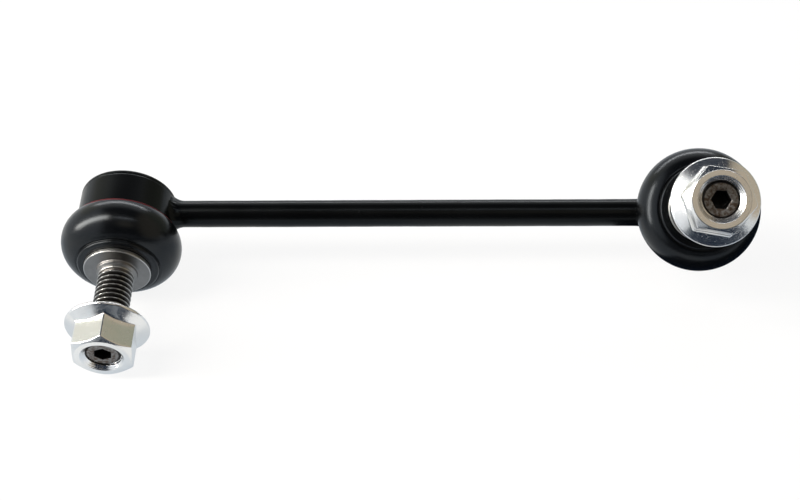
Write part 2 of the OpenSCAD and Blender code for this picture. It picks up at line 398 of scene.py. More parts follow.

# %% [markdown]
# The stud is phosphated steel: dark grey, satin, with lathe rings on the collar. Where the nut has run
# over the thread the crests are rubbed bright, and they are lightened further as a painted highlight, as
# is the collar's rim; the end face is stained brown. The thread's roots, the chamfer at its tip and the
# socket are darkened with painted shade. The radius and height attributes tell crest from root and the
# end face from the thread, so the wear, the painted highlights and the painted shade follow the piece.

# %% Stud steel
COLLAR_R = 9.3
SEAT_AT = 20.8
THREAD_START = 22.1
TIP = 48.3
stud_steel, wire, noise, link = start_finish("stud_steel", Metallic=1.0)
radius = own_mark(wire, "radius")
height = own_mark(wire, "height")
grime = noise(500, 4.0)
fine = noise(3000, 2.0)
at_end = height.clamped(TIP - 0.06, TIP - 0.03)
on_thread = height.clamped(THREAD_START - 0.2, THREAD_START + 0.3) * (1 - at_end)
# Crests: rubbed bright by the nut, and also lightened as a painted highlight.
crest = radius.clamped(4.8, 4.98) * on_thread
# Painted shade in the thread's roots, the chamfer at its tip and the hexagon socket.
root = (1 - radius.clamped(4.15, 4.65)) * on_thread
# A painted highlight along the rim of the collar.
edge = radius.clamped(COLLAR_R - 0.3, COLLAR_R - 0.12)
rings = (radius * 21.0 + grime * 2.0).math("SINE")
stain = noise(1100, 5.0, 0.65).clamped(0.4, 0.62) * at_end
# Wear and painted highlight together: the crests and the collar's rim are lightened.
wear_and_highlight = (crest * (0.35 + grime * 0.5)).math("MAXIMUM", edge * 0.7)
plain = grime.between(shade(0.16, (1.03, 1.0, 0.97)), shade(0.26, (1.02, 1.0, 0.98)))
flank = on_thread.between(plain, shade(0.07, (1.06, 1.0, 0.95)))
# The roots and the socket get a nearly black painted shade.
dark = root.between(flank, shade(0.02, (1.06, 1.0, 0.95)))
stained = stain.between(dark, shade(0.06, (1.35, 1.0, 0.78)))
link("Base Color", wear_and_highlight.between(stained, shade(0.6, (1.0, 1.0, 0.98))))
link("Roughness", 0.27 + grime * 0.14 + root * 0.2)
link("Normal", bump(wire, rings * 0.2 * (1 - on_thread) + fine * 0.5, 0.16))
print("finish:", stud_steel.name)

# %% [markdown]
# The nuts are bright zinc plate. Zinc over a forged nut is never a flat mirror: it is slightly wavy, a
# little blue in places and warm in others, and marked by handling. Two noises of different size give the
# waves, and a stretched one the fine scratches. The countersink was cut with a drill, so rings follow its
# radius.

# %% Bright zinc
bright_zinc, wire, noise, link = start_finish("bright_zinc", Metallic=1.0)
waves = noise(150, 2.0)
grain = noise(900, 4.0, 0.65)
flat = wire.add("ShaderNodeMapping", None,
                {"Vector": own_spot(wire), "Rotation": (0.4, 0.9, 0.3), "Scale": (3500.0, 300.0, 3500.0)})
scratch = wire.add("ShaderNodeTexNoise", None, {"Vector": flat, "Scale": 1.0, "Detail": 2.0})
mark = scratch.clamped(0.6, 0.72)
radius = own_mark(wire, "radius")
sink = radius.clamped(5.1, 5.3) * (1 - radius.clamped(5.85, 6.0))
turning = (radius * 17.0).math("SINE") * sink
tint = waves.between(shade(0.82, (0.97, 1.0, 1.03)), shade(0.78, (1.03, 1.0, 0.96)))
link("Base Color", (mark * 0.35).between(tint, shade(0.5, (1.0, 0.98, 0.95))))
link("Roughness", 0.13 + grain * 0.12 + mark * 0.12)
link("Normal", bump(wire, waves * 0.75 + grain * 0.2 + mark * 0.05 + turning * 0.12, 0.3, 0.4 * MM))
print("finish:", bright_zinc.name)

# %% [markdown]
# Two pieces lie inside the joint and keep the CAD node's own shape: the plastic bearing round the ball
# and the steel ring in the boot's lower lip. They still get a finish, for anyone who takes the joint
# apart.

# %% Bearing plastic and ring steel
bearing_plastic, wire, noise, link = start_finish("bearing_plastic", Specular_IOR_Level=0.45)
milk = noise(300, 3.0)
link("Base Color", milk.between(shade(0.68, (1.0, 0.99, 0.93)), shade(0.76, (1.0, 0.98, 0.9))))
link("Roughness", 0.38 + milk * 0.15)
link("Normal", bump(wire, milk, 0.1))
ring_steel, wire, noise, link = start_finish("ring_steel", Metallic=1.0)
drawn = noise(700, 4.0)
link("Base Color", drawn.between(shade(0.42), shade(0.55, (1.0, 0.99, 0.96))))
link("Roughness", 0.28 + drawn * 0.18)
link("Normal", bump(wire, drawn, 0.12))
for side in SIDES:
    for key, finish in (("bearing_", bearing_plastic), ("lip_ring_", ring_steel)):
        node = frame["nodes"][key + side]
        node.data.materials.clear()
        node.data.materials.append(finish)
print("finish:", bearing_plastic.name, ring_steel.name)

# %% [markdown]
# The bar is drawn steel, but paint runs and settles, so its surface is a touch uneven and the highlights
# along it waver. It is swept round its own axis with a very small change of radius along its length:
# three waves, each with a height, a pace and a start. Its ends are cut to the round of the housings,
# which is one formula: a cylinder across another cylinder.

# %% Bar
CENTRES = 160.0
BAR_R = 3.8
HOUSING_R = 13.57
BAR_ROWS = 241
PAINT_WAVES = ((0.010, 0.31, 0.0), (0.008, 0.83, 1.0), (0.006, 0.12, 2.0))
bar_place = Matrix(((0, 0, MM, 0), (MM, 0, 0, 0), (0, MM, 0, 0), (0, 0, 0, 1)))
bar_place.translation = PLACE["left"].translation
turn = np.arange(ROUND) * 2 * math.pi / ROUND


def meets_housing(radius, side):
    """How far from an end's axis a circle of this radius on the bar meets the housing."""
    stud = PLACE[side].to_3x3().col[2].normalized()
    across = np.abs(radius * (np.cos(turn) * stud.z - np.sin(turn) * stud.y))
    return np.sqrt(HOUSING_R ** 2 - across ** 2)


def along_bar(reach, side):
    """A distance from an end's axis as a place along the bar."""
    return reach if side == "left" else CENTRES - reach


def bar_r(x):
    """The painted bar's radius along its length."""
    return BAR_R + sum(size * math.sin(x * pace + start) for size, pace, start in PAINT_WAVES)


first = along_bar(meets_housing(BAR_R, "left"), "left")
last = along_bar(meets_housing(BAR_R, "right"), "right")
rows = [(0.0, HOUSING_R)]
for share in np.linspace(0, 1, BAR_ROWS):
    rows.append((bar_r(HOUSING_R + share * (CENTRES - 2 * HOUSING_R)), first + (last - first) * share))
rows.append((0.0, CENTRES - HOUSING_R))
points, faces = ring_grid(rows)
bar = finish_mesh("painted_bar", points, faces, bar_place)
settle(bar, black_paint, "black_paint", "link", "bar")
print(bar.name, len(bar.data.polygons), "faces")

# %% [markdown]
# The bar is welded into each housing, and under the paint the bead shows as a soft hollow fillet with
# shallow ripples. The fillet is part of a circle swept round the bar; the ripples are a small wave of the
# radius round it. The bead's edges are pushed a little under the skins of housing and bar, so that no
# slit opens there.

# %% Welds
WELD_R = 5.0
WELD_H = 1.3
WELD_ROWS = 15
RIPPLES, RIPPLE_H, RIPPLE_LEAN = 19, 0.05, 5
UNDER_HOUSING, FOOT_UNDER, UNDER_BAR = 0.5, 0.2, 0.15
weld_span = math.acos(1 - WELD_H / WELD_R)


def weld_rows(side):
    """The bead's rings, from the bar's skin out to the housing and back underneath."""
    foot = meets_housing(BAR_R + WELD_H, side)
    rows = []
    for angle in np.linspace(0, weld_span, WELD_ROWS):
        rise = WELD_R * (1 - math.cos(angle))
        fade = math.sin(math.pi * min(1.0, rise / WELD_H))
        ripple = RIPPLE_H * np.sin(RIPPLES * turn + RIPPLE_LEAN * rise) * fade
        reach = foot + WELD_R * (math.sin(weld_span) - math.sin(angle))
        rows.append((BAR_R + rise + ripple, along_bar(reach, side)))
    rows.append((BAR_R + WELD_H, along_bar(foot - UNDER_HOUSING, side)))
    rows.append((BAR_R - UNDER_BAR, along_bar(meets_housing(BAR_R, side) - FOOT_UNDER, side)))
    return rows


for side in SIDES:
    weld = swept(f"weld_bead_{side}", weld_rows(side), bar_place)
    settle(weld, black_paint, "black_paint", "link", "weld_" + side)
    print(weld.name, len(weld.data.polygons), "faces")

# %% [markdown]
# A housing is a forged cup. The ball and its bearing go in from the back, a pressed cap closes it, and
# the rim is rolled over the cap. So the outline has a full round at the back edge, a shallow line where
# the roll begins, and a step at the front where the boot's ring is pressed on. The cap has a low boss in
# its middle.

# %% Housings and caps
CAP_OUT, CAP_IN = -4.3, -2.7
BACK, FRONT = -5.2, 12.0
ROLLED_R, ROLL_LINE = 9.27, -3.7
RING_AT = 6.8
STEP_R = 12.82
MOUTH_R, THROAT_R = 9.4, 8.6
POCKET_R, POCKET_END = 10.07, 9.8
CAP_R, CAP_SEAT_R = 10.87, 10.89
BOSS_R, BOSS_H = 6.2, 0.6
CUT = 0.05
housing_outline = held(rounded([
    (ROLLED_R, CAP_OUT, CUT), (ROLLED_R, BACK, 0.5), (HOUSING_R, BACK, 0.8),
    (HOUSING_R, ROLL_LINE - 0.25, 0.3), (HOUSING_R - 0.07, ROLL_LINE, 0.1),
    (HOUSING_R, ROLL_LINE + 0.25, 0.3), (HOUSING_R, RING_AT, 0.12), (STEP_R, RING_AT, CUT),
    (STEP_R, FRONT, 0.6), (MOUTH_R, FRONT, 0.25),
    (THROAT_R, POCKET_END, 0.1), (POCKET_R, POCKET_END, CUT), (POCKET_R, CAP_IN, CUT),
    (CAP_SEAT_R, CAP_IN, CUT), (CAP_SEAT_R, CAP_OUT, CUT)]))
cap_outline = held(rounded([
    (0.0, CAP_IN, 0), (CAP_R, CAP_IN, 0.1), (CAP_R, CAP_OUT, 0.1), (BOSS_R, CAP_OUT, 0.5),
    (BOSS_R - 0.8, CAP_OUT - BOSS_H, 0.5), (0.0, CAP_OUT - BOSS_H, 0)]))
for side in SIDES:
    housing = swept(f"painted_housing_{side}", housing_outline, PLACE[side])
    settle(housing, black_paint, "black_paint", "link", "housing_" + side)
    cap = swept(f"rolled_in_cap_{side}", cap_outline, PLACE[side])
    settle(cap, black_paint, "black_paint", "link", "cap_" + side)
    print(housing.name, len(housing.data.polygons), "faces,", cap.name, len(cap.data.polygons), "faces")

# %% [markdown]
# The red ring is an angle section: a sleeve pressed on the housing's step, and a flange that the boot's
# upper edge lies against. Its rim is the thin red line at the top of the boot.

# %% Red rings
RING_R, RING_FACE = 15.17, 7.55
SLEEVE_IN, SLEEVE_OUT, SLEEVE_END = 12.84, 13.59, 10.6
RING_HOLD = 0.05
ring_outline = held(rounded([
    (SLEEVE_IN, RING_AT, 0.08), (RING_R, RING_AT, 0.2), (RING_R, RING_FACE, 0.1),
    (SLEEVE_OUT, RING_FACE, CUT), (SLEEVE_OUT, SLEEVE_END, 0.1),
    (SLEEVE_IN, SLEEVE_END, 0.1)]), RING_HOLD)
for side in SIDES:
    ring = swept(f"red_ring_{side}", ring_outline, PLACE[side])
    settle(ring, red_ring, "red_ring", "link", "boot_ring_" + side)
    print(ring.name, len(ring.data.polygons), "faces")

# %% [markdown]
# The boot is a fat bellows of one fold: a round bulge, a rounded upper edge against the red ring, and a
# smaller lower lip, with a crease above it, that grips the stud. The bulge's skins are arcs of two
# circles round one middle, and each arc is drawn between the angles at which it reaches given heights.

# %% Boot outlines
BULGE = (9.4, 11.55)
BULGE_R = 7.4
WALL = 1.5
INSIDE_R = BULGE_R - WALL
EDGE, EDGE_R = (15.172, 8.35), 0.8
CREASE_R = 12.1
WALL_END = (11.9, 18.47)
INNER_END = 16.9
BEND_START, MEET, BEND_END = 8.0, 13.6, 18.6
BEAD_IN, BEAD_OUT, BEAD_FOOT = 13.65, 14.56, 7.6
GRIP_R, LIP_START, LIP_END = 6.56, 16.5, 19.49
GROOVE_R, GROOVE_START, GROOVE_END = 7.62, 17.25, 18.73
LIP_R, LIP_ROUND = 10.68, 0.71


def height_angle(height, radius):
    """The angle on a circle round the bulge's middle at which it reaches a height."""
    return math.degrees(math.asin((height - BULGE[1]) / radius))


top_angle = math.degrees(math.atan2(EDGE[1] - BULGE[1], EDGE[0] - BULGE[0]))
crease = math.degrees(math.acos((CREASE_R - BULGE[0]) / BULGE_R))
meet_out = height_angle(MEET, BULGE_R)
meet_in = height_angle(MEET, INSIDE_R)
upper_wall = (arc(BULGE, BULGE_R, meet_out, top_angle, 48)
              + arc(EDGE, EDGE_R, top_angle, -90, 8)[1:]
              + arc(BULGE, INSIDE_R, height_angle(RING_FACE, INSIDE_R), meet_in, 32))
lower_wall = (arc(BULGE, INSIDE_R, meet_in, height_angle(INNER_END, INSIDE_R), 20)
              + [WALL_END]
              + arc(BULGE, BULGE_R, crease, meet_out, 44))
bead = held(rounded([
    (BEAD_IN, BEAD_FOOT, 0), (BEAD_IN + 0.06, BEAD_FOOT, 0), (BEAD_OUT, BEAD_FOOT + 1.2, 0.3),
    (BEAD_OUT, SLEEVE_END, 0.3), (BEAD_IN, SLEEVE_END, 0.15)]))
lip = ([(GRIP_R, LIP_START), (GRIP_R, GROOVE_START), (GROOVE_R, GROOVE_START + 0.02),
        (GROOVE_R, GROOVE_END - 0.02), (GRIP_R, GROOVE_END), (GRIP_R, LIP_END - 0.14),
        (GRIP_R + 0.14, LIP_END)]
       + arc((LIP_R, LIP_END - LIP_ROUND), LIP_ROUND, 90, -8, 14)
       + [(11.38, 18.5), (11.44, 18.42), (11.56, 18.4), (11.72, 18.44), (11.9, 18.468)]
       + [(11.97, 18.36), (11.97, INNER_END + 0.15), (11.85, INNER_END)])
print("boot outlines:", len(upper_wall), len(lower_wall), len(bead), len(lip), "points")

# %% [markdown]
# The boot has to bend both ways when the stud swings. Here its wall is made in two halves that meet at one
# height, and neither half is given a body. The thick rubber at both ends doesn't bend: the bead rides on
# the link and the lip on its ring, so neither cuts into the metal.

# %% Boots
for side in SIDES:
    node = "boot_" + side
    upper = swept(f"boot_upper_{side}", upper_wall, PLACE[side])
    settle(upper, boot_rubber, "boot_rubber", None, node)
    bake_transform(upper)
    lower = swept(f"boot_lower_{side}", lower_wall, PLACE[side])
    settle(lower, boot_rubber, "boot_rubber", None, node)
    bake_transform(lower)
    for name, outline, body in (("bead", bead, "link"), ("lip", lip, side + "_lip")):
        settle(swept(f"boot_{name}_{side}", outline, PLACE[side]), boot_rubber, "boot_rubber", body, node)
    print(upper.name, len(upper.data.polygons), "faces,", lower.name, len(lower.data.polygons), "faces")

# %% [markdown]
# A screw thread follows a rule, so it is made by Geometry Nodes. A flat grid is rolled into a tube, and
# its radius dips wherever the height, less the turn, lies between two crests. The groove fades in over
# the first turns and out at the tip, and a chamfer cuts the tip down to one even circle. The sizes are
# named inputs of the tree.

# %% Thread tree
PITCH = 1.5
THREAD_R = 5.0
ROOT_R = 4.08
TIP_R = 4.2
CREST_FLAT, FLANK = 0.13, 0.6
START_TURNS, END_TURNS = 1.6, 0.5
SEAM = 0.001
THREAD_ROWS = 260


def thread_tree():
    """A Geometry Nodes tree that rolls a grid into a threaded rod."""
    tree = bpy.data.node_groups.new("rolled_thread", "GeometryNodeTree")
    sizes = {"Pitch": PITCH, "Outer radius": THREAD_R, "Root radius": ROOT_R, "Tip radius": TIP_R,
             "Start": THREAD_START, "Length": TIP - THREAD_START, "Run-out turns": START_TURNS}
    sockets = [(key, "INPUT", "NodeSocketFloat") for key in sizes]
    sockets += [("Columns", "INPUT", "NodeSocketInt"), ("Rows", "INPUT", "NodeSocketInt"),
                ("Finish", "INPUT", "NodeSocketMaterial"), ("Geometry", "OUTPUT", "NodeSocketGeometry")]
    for name, way, kind in sockets:
        tree.interface.new_socket(name=name, in_out=way, socket_type=kind)
    wire = Wire(tree)
    entry = wire.add("NodeGroupInput").socket.node
    size = {socket.name: Wire(tree, socket) for socket in entry.outputs if socket.name}
    grid = wire.add("GeometryNodeMeshGrid", None,
                    {"Size X": 1.0, "Size Y": 1.0,
                     "Vertices X": size["Columns"], "Vertices Y": size["Rows"]})
    spot = wire.add("GeometryNodeInputPosition")
    x = wire.add("ShaderNodeSeparateXYZ", None, {0: spot}, out="X") + 0.5
    y = (wire.add("ShaderNodeSeparateXYZ", None, {0: spot}, out="Y") + 0.5) * size["Length"]
    phase = (y / size["Pitch"] - x).math("FRACT")
    valley = 1 - (phase * 2 - 1).math("ABSOLUTE")
    groove = ((valley - CREST_FLAT) / FLANK).math("MAXIMUM", 0.0).math("MINIMUM", 1.0)
    run_in = (y / (size["Pitch"] * size["Run-out turns"])).math("MINIMUM", 1.0)
    run_out = ((size["Length"] - y) / (size["Pitch"] * END_TURNS)).math("MINIMUM", 1.0)
    depth = size["Outer radius"] - size["Root radius"]
    level = size["Outer radius"] - depth * groove * run_in * run_out
    level = level.math("MINIMUM", size["Tip radius"] + (size["Length"] - y))
    angle = x * (2 * math.pi)
    point = wire.add("ShaderNodeCombineXYZ", None,
                     {0: level * angle.math("COSINE"), 1: level * angle.math("SINE"), 2: y + size["Start"]})
    rod = wire.add("GeometryNodeSetPosition", None, {"Geometry": grid, "Position": point})
    rod = wire.add("GeometryNodeMergeByDistance", None, {"Geometry": rod, "Distance": SEAM})
    rod = wire.add("GeometryNodeRealizeInstances", None, {"Geometry": rod})
    rod = wire.add("GeometryNodeSetMaterial", None, {"Geometry": rod, "Material": size["Finish"]})
    wire.add("NodeGroupOutput", None, {0: rod})
    return tree, sizes


print("thread:", PITCH, "mm pitch,", round(TIP - THREAD_START, 2), "mm long")

# %% [markdown]
# A blank object carries the tree as a modifier.

# %% Thread skin
def thread_skin(columns, rows):
    """The thread's points and faces, as the tree makes them."""
    tree, sizes = thread_tree()
    blank = bpy.data.objects.new("thread_blank", bpy.data.meshes.new("thread_blank"))
    bpy.context.scene.collection.objects.link(blank)
    modifier = blank.modifiers.new("thread", "NODES")
    modifier.node_group = tree
    values = dict(sizes, Columns=columns, Rows=rows, Finish=stud_steel)
    for item in tree.interface.items_tree:
        if item.in_out == "INPUT":
            modifier[item.identifier] = values[item.name]
    result = bpy.data.meshes.new_from_object(blank.evaluated_get(bpy.context.evaluated_depsgraph_get()))
    points = np.empty(len(result.vertices) * 3)
    result.vertices.foreach_get("co", points)
    faces = [tuple(face.vertices) for face in result.polygons]
    bpy.data.objects.remove(blank)
    return points.reshape(-1, 3), faces


thread_points, thread_faces = thread_skin(ROUND + 1, THREAD_ROWS)
print("thread:", len(thread_faces), "faces, radius", np.hypot(*thread_points[:, :2].T).min(), "and up")

# %% [markdown]
# The stud is one forging: ball, neck, boot seat, collar and thread, with a hexagon socket in the end to
# hold it while the nut is tightened. Three skins are sewn together where they share a ring of points: the
# turned part, the thread, and the end face with its socket. A hexagon's radius is its half width over the
# cosine of the angle from the middle of a flat. The turned outline is open, so the two points that would
# hold its closing line are left off.

# %% Studs
def hexagon(half_width, corner_at, steps):
    """The radius of a hexagon round its axis, with a corner at the given angle in degrees."""
    angle = np.arange(steps) * 360 / steps - corner_at
    off_flat = 30 - np.abs((angle + 30) % 60 - 30)
    return half_width / np.cos(np.radians(off_flat))


BALL_R = 8.0
NECK_R, NECK_START, NECK_END = 4.5, 12.9, 14.65
BOOT_SEAT_R, BOOT_SEAT_AT = 6.5, 16.45
COLLAR_AT, COLLAR_EDGE = 19.55, 0.22
SHOULDER_R, SHOULDER_H = 5.72, 0.75
SOCKET_AF, SOCKET_DEPTH = 4.4, 5.0
STUD_SHARP = 35
ball_from = math.degrees(math.acos(NECK_R / BALL_R))
turned = (arc((0.0, BALL_AT), BALL_R, -90, ball_from, 40)
          + rounded([(NECK_R, NECK_START, 0), (NECK_R, NECK_END, 0.6), (BOOT_SEAT_R, BOOT_SEAT_AT, 0.3),
                     (BOOT_SEAT_R, COLLAR_AT, 0.2), (COLLAR_R, COLLAR_AT, COLLAR_EDGE),
                     (COLLAR_R, SEAT_AT, COLLAR_EDGE), (SHOULDER_R, SEAT_AT, 0.3),
                     (SHOULDER_R - 0.06, SEAT_AT + SHOULDER_H, 0.3), (THREAD_R, THREAD_START, 0)]))


def end_rows(corner_at):
    """The rings of the end face and its socket, from the tip's edge to the bottom of the hole."""
    socket = hexagon(SOCKET_AF / 2, corner_at, ROUND)
    floor = TIP - SOCKET_DEPTH
    return [(TIP_R, TIP), (TIP_R - 0.12, TIP), (socket + 0.16, TIP), (socket + 0.1, TIP - 0.02),
            (socket, TIP - 0.12), (socket, floor + 0.1), (socket - 0.15, floor), (0.6, floor - 0.4),
            (0.0, floor - 0.5)]


for side, corner_at in (("left", 20), ("right", 57)):
    skins = [ring_grid(held(turned)[:-2]), (thread_points, thread_faces), ring_grid(end_rows(corner_at))]
    points, faces, start = [], [], 0
    for skin_points, skin_faces in skins:
        points.append(skin_points)
        faces += [tuple(start + i for i in face) for face in skin_faces]
        start += len(skin_points)
    stud = finish_mesh(f"ball_stud_{side}", np.concatenate(points), faces, PLACE[side], STUD_SHARP)
    settle(stud, stud_steel, "stud_steel", side + "_stud", "stud_" + side)
    print(stud.name, len(stud.data.polygons), "faces")

# %% [markdown]
# A flange nut is a hexagon that runs out into a round flange. One radius rule makes the outside: the
# larger of the flange's cone and the hexagon, and the hexagon cut by the 30 degree chamfer that every nut
# has on top. Taking a smooth maximum and minimum rounds those meeting lines, as forging and plating do.

# %% Nut sizes
def smooth_max(a, b, blend):
    """The larger of two values, with the corner between them rounded."""
    return 0.5 * (a + b + np.sqrt((a - b) ** 2 + blend ** 2))


def smooth_min(a, b, blend):
    """The smaller of two values, with the corner between them rounded."""
    return -smooth_max(-a, -b, blend)


NUT_START, NUT_END = 39.0, 49.6
NUT_AF, CORNER_R = 16.0, 9.2
FLANGE_R, RIM, RIM_STOP = 11.5, 0.55, 0.9
CONE_R, CONE_END = 8.64, NUT_START + 2.7
FLATS_START, FLATS_END = NUT_START + 3.4, NUT_END - 1.35
CHAMFER = math.radians(30)
BORE_R, SINK_R, TOP_R, CREST_R = 5.06, 5.95, 7.4, 4.6
RIDGE_HALF, RIDGE_FLANK = 0.34, 0.22
TURN_START, TURN_FADE = TIP - 0.55, 0.4
NUT_DOWN = 16.0
NUT_STEPS = 360
NUT_SHARP = 50
print("nut:", NUT_AF, "mm across flats, flange", 2 * FLANGE_R, "mm")

# %% [markdown]
# At the top the countersink cuts into the nut's own first turn of thread, which closes in round the
# stud's tip. That turn is placed so that it runs in the stud's groove when the nut is right down.

# %% Nuts
def first_turn(h):
    """The radius of the nut's hole round one ring: its first turn of thread, cut off by the countersink."""
    angle = np.arange(NUT_STEPS) / NUT_STEPS
    off_middle = np.abs(((h - NUT_DOWN - THREAD_START) / PITCH - angle) % 1 - 0.5)
    begun = min(1.0, max(0.0, (h - TURN_START) / TURN_FADE))
    ridge = (BORE_R - CREST_R) * np.clip((RIDGE_HALF - off_middle) / RIDGE_FLANK, 0, 1) * begun
    return smooth_max(BORE_R - ridge, SINK_R - (NUT_END - h), 0.03)


def nut_rows(corner_at):
    """The nut's rings, from the flange's rim round the outside to the bore and back."""
    six = smooth_min(hexagon(NUT_AF / 2, corner_at, NUT_STEPS), CORNER_R, 0.1)
    rim_middle = (FLANGE_R - RIM, NUT_START + RIM)
    rows = arc(rim_middle, RIM, -90, math.degrees(RIM_STOP), 17)
    r0, h0 = rows[-1]
    heights = np.concatenate([np.linspace(h0, FLATS_START, 46)[1:],
                              np.linspace(FLATS_START, FLATS_END, 14)[1:],
                              np.linspace(FLATS_END, NUT_END - 0.02, 36)[1:]])
    for h in heights:
        cone = r0 - (h - h0) * (r0 - CONE_R) / (CONE_END - h0)
        cut = TOP_R + 0.02 + (NUT_END - h) / math.tan(CHAMFER)
        rows.append((smooth_max(cone, smooth_min(six, cut, 0.16), 0.45), h))
    rows += [(TOP_R - 0.08, NUT_END), (TOP_R - 0.2, NUT_END), (SINK_R + 0.2, NUT_END),
             (SINK_R + 0.08, NUT_END), (SINK_R - 0.02, NUT_END - 0.03), (SINK_R - 0.1, NUT_END - 0.1)]
    rows += [(first_turn(h), h) for h in np.linspace(NUT_END - 0.6, TIP - 0.6, 40)]
    foot = NUT_START + (SINK_R - BORE_R)
    return rows + [(BORE_R, TIP - 0.7), (BORE_R, foot + 0.05), (BORE_R + 0.06, foot - 0.06),
                   (SINK_R, NUT_START + 0.02), (SINK_R + 0.1, NUT_START)]


for side, corner_at in (("left", 23), ("right", 50)):
    nut = swept(f"flange_nut_{side}", nut_rows(corner_at), PLACE[side], NUT_STEPS, NUT_SHARP)
    settle(nut, bright_zinc, "bright_zinc", side + "_nut", "nut_" + side)
    print(nut.name, len(nut.data.polygons), "faces")

# %% [markdown]
# Apart from one dome they are level sheets. Light Path nodes tell a paint, or the world, which kind of
# ray is looking at it.

# %% Stage
scene = bpy.context.scene
scene.view_settings.view_transform = "Standard"
low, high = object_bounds()
centre = (low + high) / 2


def seen_rays(wire):
    """1 for camera, mirror and glass rays, 0 for rays that only carry light."""
    kinds = ("Is Camera Ray", "Is Glossy Ray", "Is Transmission Ray")
    rays = [wire.add("ShaderNodeLightPath", out=kind) for kind in kinds]
    return (rays[0] + rays[1] + rays[2]).math("MINIMUM", 1.0)


def fresh_paint(name):
    """A new material for the stage, and a wire in its tree."""
    paint = bpy.data.materials.new(name)
    paint.use_nodes = True
    return paint, Wire(paint.node_tree)


def to_surface(wire, shader, output="Material Output"):
    """Links a shader to its tree's output."""
    wire.tree.links.new(shader.socket, wire.tree.nodes[output].inputs["Surface"])


def stage_sheet(name, low_x, high_x, low_y, high_y, z, material):
    """A flat level stage piece with four corners."""
    mesh = bpy.data.meshes.new(name)
    corners = [(low_x, low_y, z), (high_x, low_y, z), (high_x, high_y, z), (low_x, high_y, z)]
    mesh.from_pydata(corners, [], [(0, 1, 2, 3)])
    sheet = bpy.data.objects.new(name, mesh)
    sheet.data.materials.append(material)
    scene.collection.objects.link(sheet)
    return sheet


print("middle of the part at", [round(x, 4) for x in centre])

# %% [markdown]
# The link lies on a plain white floor. To the camera the floor is mostly clear and lets the white world
# through, mixed with a lit white that keeps a soft shadow under the part, so a stud that swings down past
# the floor still shows. Further out the lit share fades, and the floor has no edge. In mirrors it shows a
# painted reflection, a little streaky and blue, which gives the bright nuts an edge.

# %% Floor
FLOOR_HALF = 3
FLOOR_GAP = 0.2 * MM
FLOOR_UNLIT = 0.88
floor_paint, wire = fresh_paint("white_floor")
spot = own_spot(wire)
lit = wire.add("ShaderNodeBsdfDiffuse", None, {"Color": shade(0.9)})
clear = wire.add("ShaderNodeBsdfTransparent")
streaks = wire.add("ShaderNodeTexNoise", None, {"Vector": spot, "Scale": 22.0, "Detail": 2.0})
# Painted reflection: a streaky blue tone that only mirror rays see on the floor.
painted_reflection = streaks.clamped(0.38, 0.62).between(shade(0.98, (0.98, 1.0, 1.0)), shade(0.68, (0.88, 0.99, 1.1)))
glow = wire.add("ShaderNodeEmission", None, {"Color": painted_reflection, "Strength": 1.0})
far = wire.add("ShaderNodeVectorMath", {"operation": "LENGTH"}, {0: spot}, out="Value").clamped(0.15, 0.45)
unlit = FLOOR_UNLIT + far * (1 - FLOOR_UNLIT)
in_mirrors = wire.add("ShaderNodeMixShader", None, {0: seen_rays(wire) * unlit, 1: lit, 2: glow})
to_camera = wire.add("ShaderNodeMixShader", None, {0: unlit, 1: lit, 2: clear})
camera_ray = wire.add("ShaderNodeLightPath", out="Is Camera Ray")
to_surface(wire, wire.add("ShaderNodeMixShader", None, {0: camera_ray, 1: in_mirrors, 2: to_camera}))
floor_z = low.z - FLOOR_GAP
stage_sheet("floor", -FLOOR_HALF, FLOOR_HALF, -FLOOR_HALF, FLOOR_HALF, floor_z, floor_paint)
print("floor at", round(floor_z, 5))

# %% [markdown]
# The world is white to the camera and in mirrors. For everything else it is a weak, even light.

# %% World
AMBIENT = 0.3
world = bpy.data.worlds.new("studio")
scene.world = world
world.use_nodes = True
wire = Wire(world.node_tree)
level = AMBIENT + seen_rays(wire) * (1 - AMBIENT)
back = wire.add("ShaderNodeBackground", None, {"Color": shade(1.0), "Strength": level})
to_surface(wire, back, "World Output")
print("even light:", AMBIENT)

# %% [markdown]
# The camera has the photograph's view: in front, a little to the right, looking down at about forty
# degrees with a long lens. Its place and lens were solved from points whose sizes are known.

# %% Camera
data = bpy.data.cameras.new("photo_camera")
data.sensor_width = 36.0
data.lens = 67.609
camera = bpy.data.objects.new("photo_camera", data)
right = Vector((0.999105, 0.030333, -0.029497))
down = Vector((-0.002494, -0.653710, -0.756741))
forward = Vector((-0.042236, 0.756136, -0.653050))
camera.matrix_world = Matrix((right, -down, -forward)).transposed().to_4x4()
camera.location = Vector((95.847, -308.131, 273.959)) * MM
scene.collection.objects.link(camera)
scene.camera = camera
print("camera at", [round(x, 4) for x in camera.location])

# %% [markdown]
# Soft light comes from four strip lamps: a long key from the upper left, which draws the crescent on the
# left boot, one at the left, which draws that on the right boot, a weak one above, and one behind, which
# draws a thin line along the upper edges. A studio would put a flag between a lamp and what it should not
# light; here light linking does that. A lamp's power over pi and its area is its brightness in a mirror.

# %% Lamps
def lamp(name, towards, along, length, width, brightness, colour=(1.0, 1.0, 1.0)):
    """A strip lamp one metre from the middle of the part, facing it, with its long side in a direction."""
    data = bpy.data.lights.new(name, "AREA")
    data.shape = "RECTANGLE"
    data.size = width
    data.size_y = length
    data.energy = brightness * math.pi * length * width
    data.color = colour
    light = bpy.data.objects.new(name, data)
    back = Vector(towards).normalized()
    side = Vector(along).cross(back).normalized()
    light.matrix_world = Matrix((side, back.cross(side), back)).transposed().to_4x4()
    light.location = centre + back
    light.visible_camera = False
    scene.collection.objects.link(light)
    return light


def flagged(light, side):
    """Keeps a lamp off one end's boot."""
    group = bpy.data.collections.new(f"{light.name}_flag")
    for piece in made:
        if piece.name.startswith("boot_") and piece.name.endswith(side):
            group.objects.link(piece)
    for row in group.collection_objects:
        row.light_linking.link_state = "EXCLUDE"
    light.light_linking.receiver_collection = group


